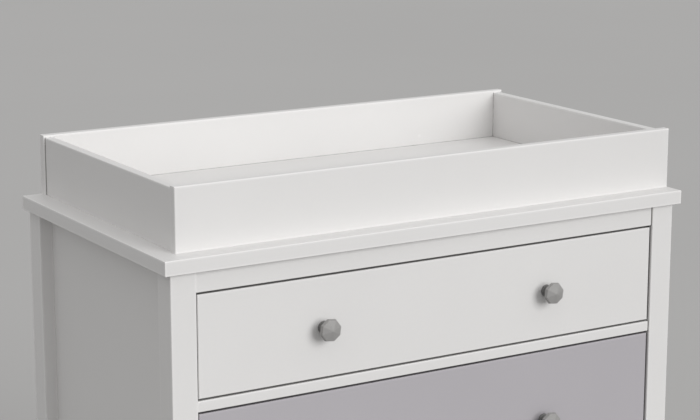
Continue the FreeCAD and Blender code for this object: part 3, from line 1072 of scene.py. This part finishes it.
@dataclass
class ChangingTray(SubAssembly):
    """The open tray on the board, and the plates that hold it."""

    painted: tuple[str, ...] = ("tray_front", "tray_back", "tray_left_side", "tray_right_side",
                                "tray_floor")
    screw: CrossScrew = CrossScrew(shank_radius=1.8)

    def build(self) -> None:
        """Dresses the tray and puts cross-recessed screws in its plates."""
        for node in self.painted:
            self.dress(node, WHITE)
        self.dress("tray_brackets", PLATE, Edge.AS_MADE)
        low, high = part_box("tray_bracket_screws")
        inset = self.screw.radius * MM
        seat = high.y - self.screw.height * MM
        blank = Blank("plate_screws")
        for x in (low.x + inset, high.x - inset):
            for z in (low.z + inset, high.z - inset):
                self.screw.add(blank, facing(x, seat, z, Facing.BACK, self.turn()))
        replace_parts(blank.object(Body.CARCASS, SCREW), "tray_bracket_screws")


@dataclass
class JointShadows(SubAssembly):
    """Painted shadow lines: dark beads where painted boards meet, on the carcass and in the tray.
    """

    width: float = 0.9
    tray_width: float = 0.8
    corner_shade_width: float = 0.7

    def build(self) -> None:
        """Draws the painted shadow lines of the carcass and of the tray."""
        self.draw_carcass()
        self.draw_tray()

    def lines(self, blank: Blank, corners: Sequence[tuple], width: float) -> None:
        """Adds beads along corners.

        Args:
            blank: the piece.
            corners: start, end, and the ways along the two faces, as plain numbers.
            width: how far each bead reaches, in millimetres.
        """
        for start, end, first, second in corners:
            blank.bead(Vector(start), Vector(end), Vector(first) * width * MM,
                       Vector(second) * width * MM)

    def draw_carcass(self) -> None:
        """Draws the painted shadow lines where legs, rails, panels and top board meet."""
        leg, leg_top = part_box("front_left_leg")
        rear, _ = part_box("back_left_leg")
        panel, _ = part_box("left_side_panel")
        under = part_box("top_panel")[0].z
        corners = []
        for side in (1, -1):
            outer, inner, recess = (side * x for x in (leg.x, leg_top.x, panel.x))
            for name in ("top_rail", "upper_mid_rail", "lower_mid_rail", "bottom_rail"):
                low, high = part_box(name)
                corners.append(((inner, low.y, low.z), (inner, low.y, high.z), (side, 0, 0),
                                (0, -1, 0)))
            corners.append(((outer, leg.y, under), (inner, leg.y, under), (0, -1, 0),
                            (0, 0, -1)))
            corners.append(((outer, leg.y, under), (outer, leg_top.y, under), (-side, 0, 0),
                            (0, 0, -1)))
            corners.append(((recess, leg_top.y, under), (recess, rear.y, under), (-side, 0, 0),
                            (0, 0, -1)))
        rail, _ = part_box("top_rail")
        corners.append(((leg_top.x, rail.y, under), (-leg_top.x, rail.y, under), (0, -1, 0),
                        (0, 0, -1)))
        blank = Blank("carcass_joint_shadow_lines")
        self.lines(blank, corners, self.width)
        blank.object(Body.CARCASS, JOINT_SHADOW)

    def draw_tray(self) -> None:
        """Draws painted shade in the tray's inner corners and painted shadow lines at its back
        ends.
        """
        left, left_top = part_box("tray_left_side")
        right, right_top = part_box("tray_right_side")
        front_y, back_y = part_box("tray_front")[1].y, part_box("tray_back")[0].y
        low, floor = left.z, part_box("tray_floor")[1].z
        inner_left, inner_right = left_top.x, right.x
        ends = [
            ((left.x, back_y, low), (left.x, back_y, left_top.z), (0, -1, 0), (-1, 0, 0)),
            ((right_top.x, back_y, low), (right_top.x, back_y, left_top.z), (0, -1, 0),
             (1, 0, 0))]
        corner_shades = [
            ((inner_left, back_y, floor), (inner_right, back_y, floor), (0, -1, 0), (0, 0, 1)),
            ((inner_left, front_y, floor), (inner_right, front_y, floor), (0, 1, 0), (0, 0, 1)),
            ((inner_left, front_y, floor), (inner_left, back_y, floor), (1, 0, 0), (0, 0, 1)),
            ((inner_right, front_y, floor), (inner_right, back_y, floor), (-1, 0, 0),
             (0, 0, 1))]
        corner_shades += [((x, y, floor), (x, y, left_top.z), (way, 0, 0), (0, inward, 0))
                  for x, way in ((inner_left, 1), (inner_right, -1))
                  for y, inward in ((front_y, 1), (back_y, -1))]
        # Painted shadow lines at the tray's back ends, and painted shade in its inner corners.
        for name, corners, width, finish in (
                ("tray_joint_shadow_lines", ends, self.tray_width, JOINT_SHADOW),
                ("tray_corner_shades", corner_shades, self.corner_shade_width, CORNER_SHADE)):
            blank = Blank(name)
            self.lines(blank, corners, width)
            blank.object(Body.CARCASS, finish)


@dataclass
class SlidePair(SubAssembly):
    """The telescopic slides at both sides of a drawer."""

    drawer: str = "top"
    body: Body = Body.TOP_DRAWER
    sheet: float = 1.2
    channel: float = 12.7
    screw: CrossScrew = CrossScrew(3.4, 1.7, 1.6, 1.0)
    fixed_screws: tuple[float, ...] = (60.0, 205.0, 390.0)
    moving_screws: tuple[float, ...] = (90.0, 240.0, 375.0)

    def build(self) -> None:
        """Dresses the slides and screws them on."""
        for part in ("fixed", "moving"):
            self.dress(f"{self.drawer}_{part}_slides", STEEL, Edge.AS_MADE)
        self.dress(f"{self.drawer}_rear_glides", NYLON, Edge.AS_MADE)
        self.screw_on("fixed", Body.CARCASS, self.fixed_screws)
        self.screw_on("moving", self.body, self.moving_screws)

    def screw_on(self, part: str, body: Body, places: tuple[float, ...]) -> None:
        """Adds the screws that hold the channels on one side.

        Args:
            part: the channels, fixed or moving.
            body: what they ride on.
            places: how far each screw is from the channel's front.
        """
        low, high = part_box(f"{self.drawer}_{part}_slides")
        middle = (low.z + high.z) / 2
        fixed = part == "fixed"
        web = high.x - self.sheet * MM if fixed else high.x - (self.channel - self.sheet) * MM
        blank = Blank(f"{self.drawer}_{part}_slide_screws")
        for side in (-1, 1):
            looks_right = (side < 0) == fixed
            way = Facing.RIGHT if looks_right else Facing.LEFT
            for y in places:
                self.screw.add(blank, facing(side * web, low.y + y * MM, middle, way,
                                             self.turn()))
        blank.object(body, SCREW)


@dataclass
class Drawer(SubAssembly):
    """A drawer: its box, painted front, knobs and slides."""

    name: str = "top"
    body: Body = Body.TOP_DRAWER
    front: Finish = WHITE
    first_cut: float = 0.0
    cut_step: float = 3.0
    boards: tuple[tuple[str, str, Axis], ...] = (
        ("left_side", "left side", Axis.Y), ("right_side", "right side", Axis.Y),
        ("back", "back", Axis.X))
    knob_screw: CrossScrew = CrossScrew()
    box_screw: CrossScrew = CrossScrew(3.6, 0.35, 1.8, recess=0.9)
    box_screw_inset: float = 26.0

    def build(self) -> None:
        """Dresses the drawer, and adds its screws and slides."""
        self.dress(f"{self.name}_front", self.front, Edge.AS_MADE)
        for step, (part, board, along) in enumerate(self.boards):
            finish = cut(LACQUERED, f"{self.name} {board}", along,
                         self.first_cut + self.cut_step * step)
            self.dress(f"{self.name}_{part}", finish, Edge.SAWN)
        self.dress(f"{self.name}_bottom", BOARD, Edge.THIN)
        self.dress(f"{self.name}_knobs", KNOB, Edge.AS_MADE)
        self.fit_knob_screws()
        self.fit_joint_screws()
        SlidePair(drawer=self.name, body=self.body).build()

    def fit_knob_screws(self) -> None:
        """Puts cross-recessed screws for the plain ones behind the knobs."""
        node = f"{self.name}_knob_screws"
        low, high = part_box(node)
        inset = self.knob_screw.radius * MM
        seat, middle = high.y - self.knob_screw.height * MM, (low.z + high.z) / 2
        blank = Blank(f"{self.name}_knob_fixings")
        for x in (low.x + inset, high.x - inset):
            self.knob_screw.add(blank, facing(x, seat, middle, Facing.BACK, self.turn()))
        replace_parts(blank.object(self.body, SCREW), node)

    def fit_joint_screws(self) -> None:
        """Adds the screws that hold the box's back between its sides."""
        back_low, back_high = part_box(f"{self.name}_back")
        _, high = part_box(f"{self.name}_right_side")
        middle = (back_low.y + back_high.y) / 2
        inset = self.box_screw_inset * MM
        blank = Blank(f"{self.name}_box_screws")
        for side, way in ((-1, Facing.LEFT), (1, Facing.RIGHT)):
            for z in (back_low.z + inset, back_high.z - inset):
                self.box_screw.add(blank, facing(side * high.x, middle, z, way, self.turn()))
        blank.object(self.body, SCREW)


# Studio


@dataclass
class Studio:
    """Pale floor, soft light and the photograph's view."""

    floor_half: float = 60.0
    view_reach: float = 180.0
    sky_low: float = 0.36
    sky_high: float = 0.80
    sky_left: float = 0.10
    sun: float = 1.61
    sun_from: tuple[float, float, float] = (0.135, -0.457, 0.172)
    sun_spread: float = 36.0
    far_tone: float = 0.9
    eye: tuple[float, float, float] = (-1624.4, -2656.2, 1527.4)
    heading: float = 31.2711
    pitch: float = 12.4751
    lens: float = 103.4674
    sensor: float = 36.0

    def build(self) -> None:
        """Lays the floor, lights the object and sets the camera."""
        self.lay_floor()
        self.light_sky()
        self.light_sun()
        self.set_camera()
        bpy.context.scene.view_settings.view_transform = "Standard"

    def lay_floor(self) -> None:
        """Lays a wide floor at height 0."""
        mesh = bmesh.new()
        half = self.floor_half
        corners = [mesh.verts.new((x, y, 0.0)) for x, y in
                   ((-half, -half), (half, -half), (half, half), (-half, half))]
        mesh.faces.new(corners)
        data = bpy.data.meshes.new("studio_floor")
        mesh.to_mesh(data)
        mesh.free()
        data.materials.append(FLOOR.material())
        floor = bpy.data.objects.new("studio_floor", data)
        bpy.context.scene.collection.objects.link(floor)

    def light_sky(self) -> None:
        """Fills the room, more from above and the left, and shows the floor's colour beyond."""
        world = bpy.data.worlds.new("studio")
        bpy.context.scene.world = world
        world.use_nodes = True
        nodes, links = world.node_tree.nodes, world.node_tree.links
        nodes.clear()
        fill = nodes.new("ShaderNodeBackground")
        fill.inputs["Color"].default_value = (1.0, 1.0, 1.0, 1.0)
        way = nodes.new("ShaderNodeSeparateXYZ")
        links.new(nodes.new("ShaderNodeTexCoord").outputs["Generated"], way.inputs[0])
        glow = nodes.new("ShaderNodeMath")
        for index, (axis, limit, low, high) in enumerate((
                ("Z", 1.0, self.sky_low, self.sky_high), ("X", -1.0, 0.0, self.sky_left))):
            share = nodes.new("ShaderNodeMapRange")
            share.inputs["From Max"].default_value = limit
            share.inputs["To Min"].default_value = low
            share.inputs["To Max"].default_value = high
            links.new(way.outputs[axis], share.inputs["Value"])
            links.new(share.outputs[0], glow.inputs[index])
        links.new(glow.outputs[0], fill.inputs["Strength"])
        seen = nodes.new("ShaderNodeBackground")
        seen.inputs["Color"].default_value = (*toned(FLOOR.colour, self.far_tone), 1.0)
        path = nodes.new("ShaderNodeLightPath")
        blend = nodes.new("ShaderNodeMixShader")
        output = nodes.new("ShaderNodeOutputWorld")
        links.new(path.outputs["Is Camera Ray"], blend.inputs[0])
        links.new(fill.outputs[0], blend.inputs[1])
        links.new(seen.outputs[0], blend.inputs[2])
        links.new(blend.outputs[0], output.inputs["Surface"])

    def light_sun(self) -> None:
        """Adds one wide, soft light from the upper right in front."""
        light = bpy.data.lights.new("soft key", "SUN")
        light.energy = self.sun
        light.angle = math.radians(self.sun_spread)
        lamp = bpy.data.objects.new("soft key", light)
        bpy.context.scene.collection.objects.link(lamp)
        lamp.rotation_euler = Vector(self.sun_from).to_track_quat("Z", "Y").to_euler()

    def set_camera(self) -> None:
        """Puts the camera where the photograph was taken from."""
        camera = bpy.data.cameras.new("photograph view")
        camera.lens = self.lens
        camera.sensor_width = self.sensor
        camera.clip_end = self.view_reach
        seen = bpy.data.objects.new("photograph view", camera)
        bpy.context.scene.collection.objects.link(seen)
        seen.location = Vector(self.eye) * MM
        seen.rotation_euler = (math.radians(90.0 - self.pitch), 0.0, -math.radians(self.heading))
        bpy.context.scene.camera = seen


def main() -> None:
    """Builds every sub-assembly in order."""
    logging.basicConfig(level=logging.INFO, format="%(name)s: %(message)s")
    parts = [
        Carcass(),
        ChangingTray(),
        JointShadows(),
        Drawer(name="top", body=Body.TOP_DRAWER, front=WHITE, first_cut=21.0),
        Drawer(name="middle", body=Body.MIDDLE_DRAWER, front=LILAC, first_cut=33.0),
        Drawer(name="bottom", body=Body.BOTTOM_DRAWER, front=LILAC, first_cut=45.0),
    ]
    for part in parts:
        LOG.info("sub-assembly %s", type(part).__name__)
        part.build()
    Studio().build()


if __name__ == "__main__":
    main()
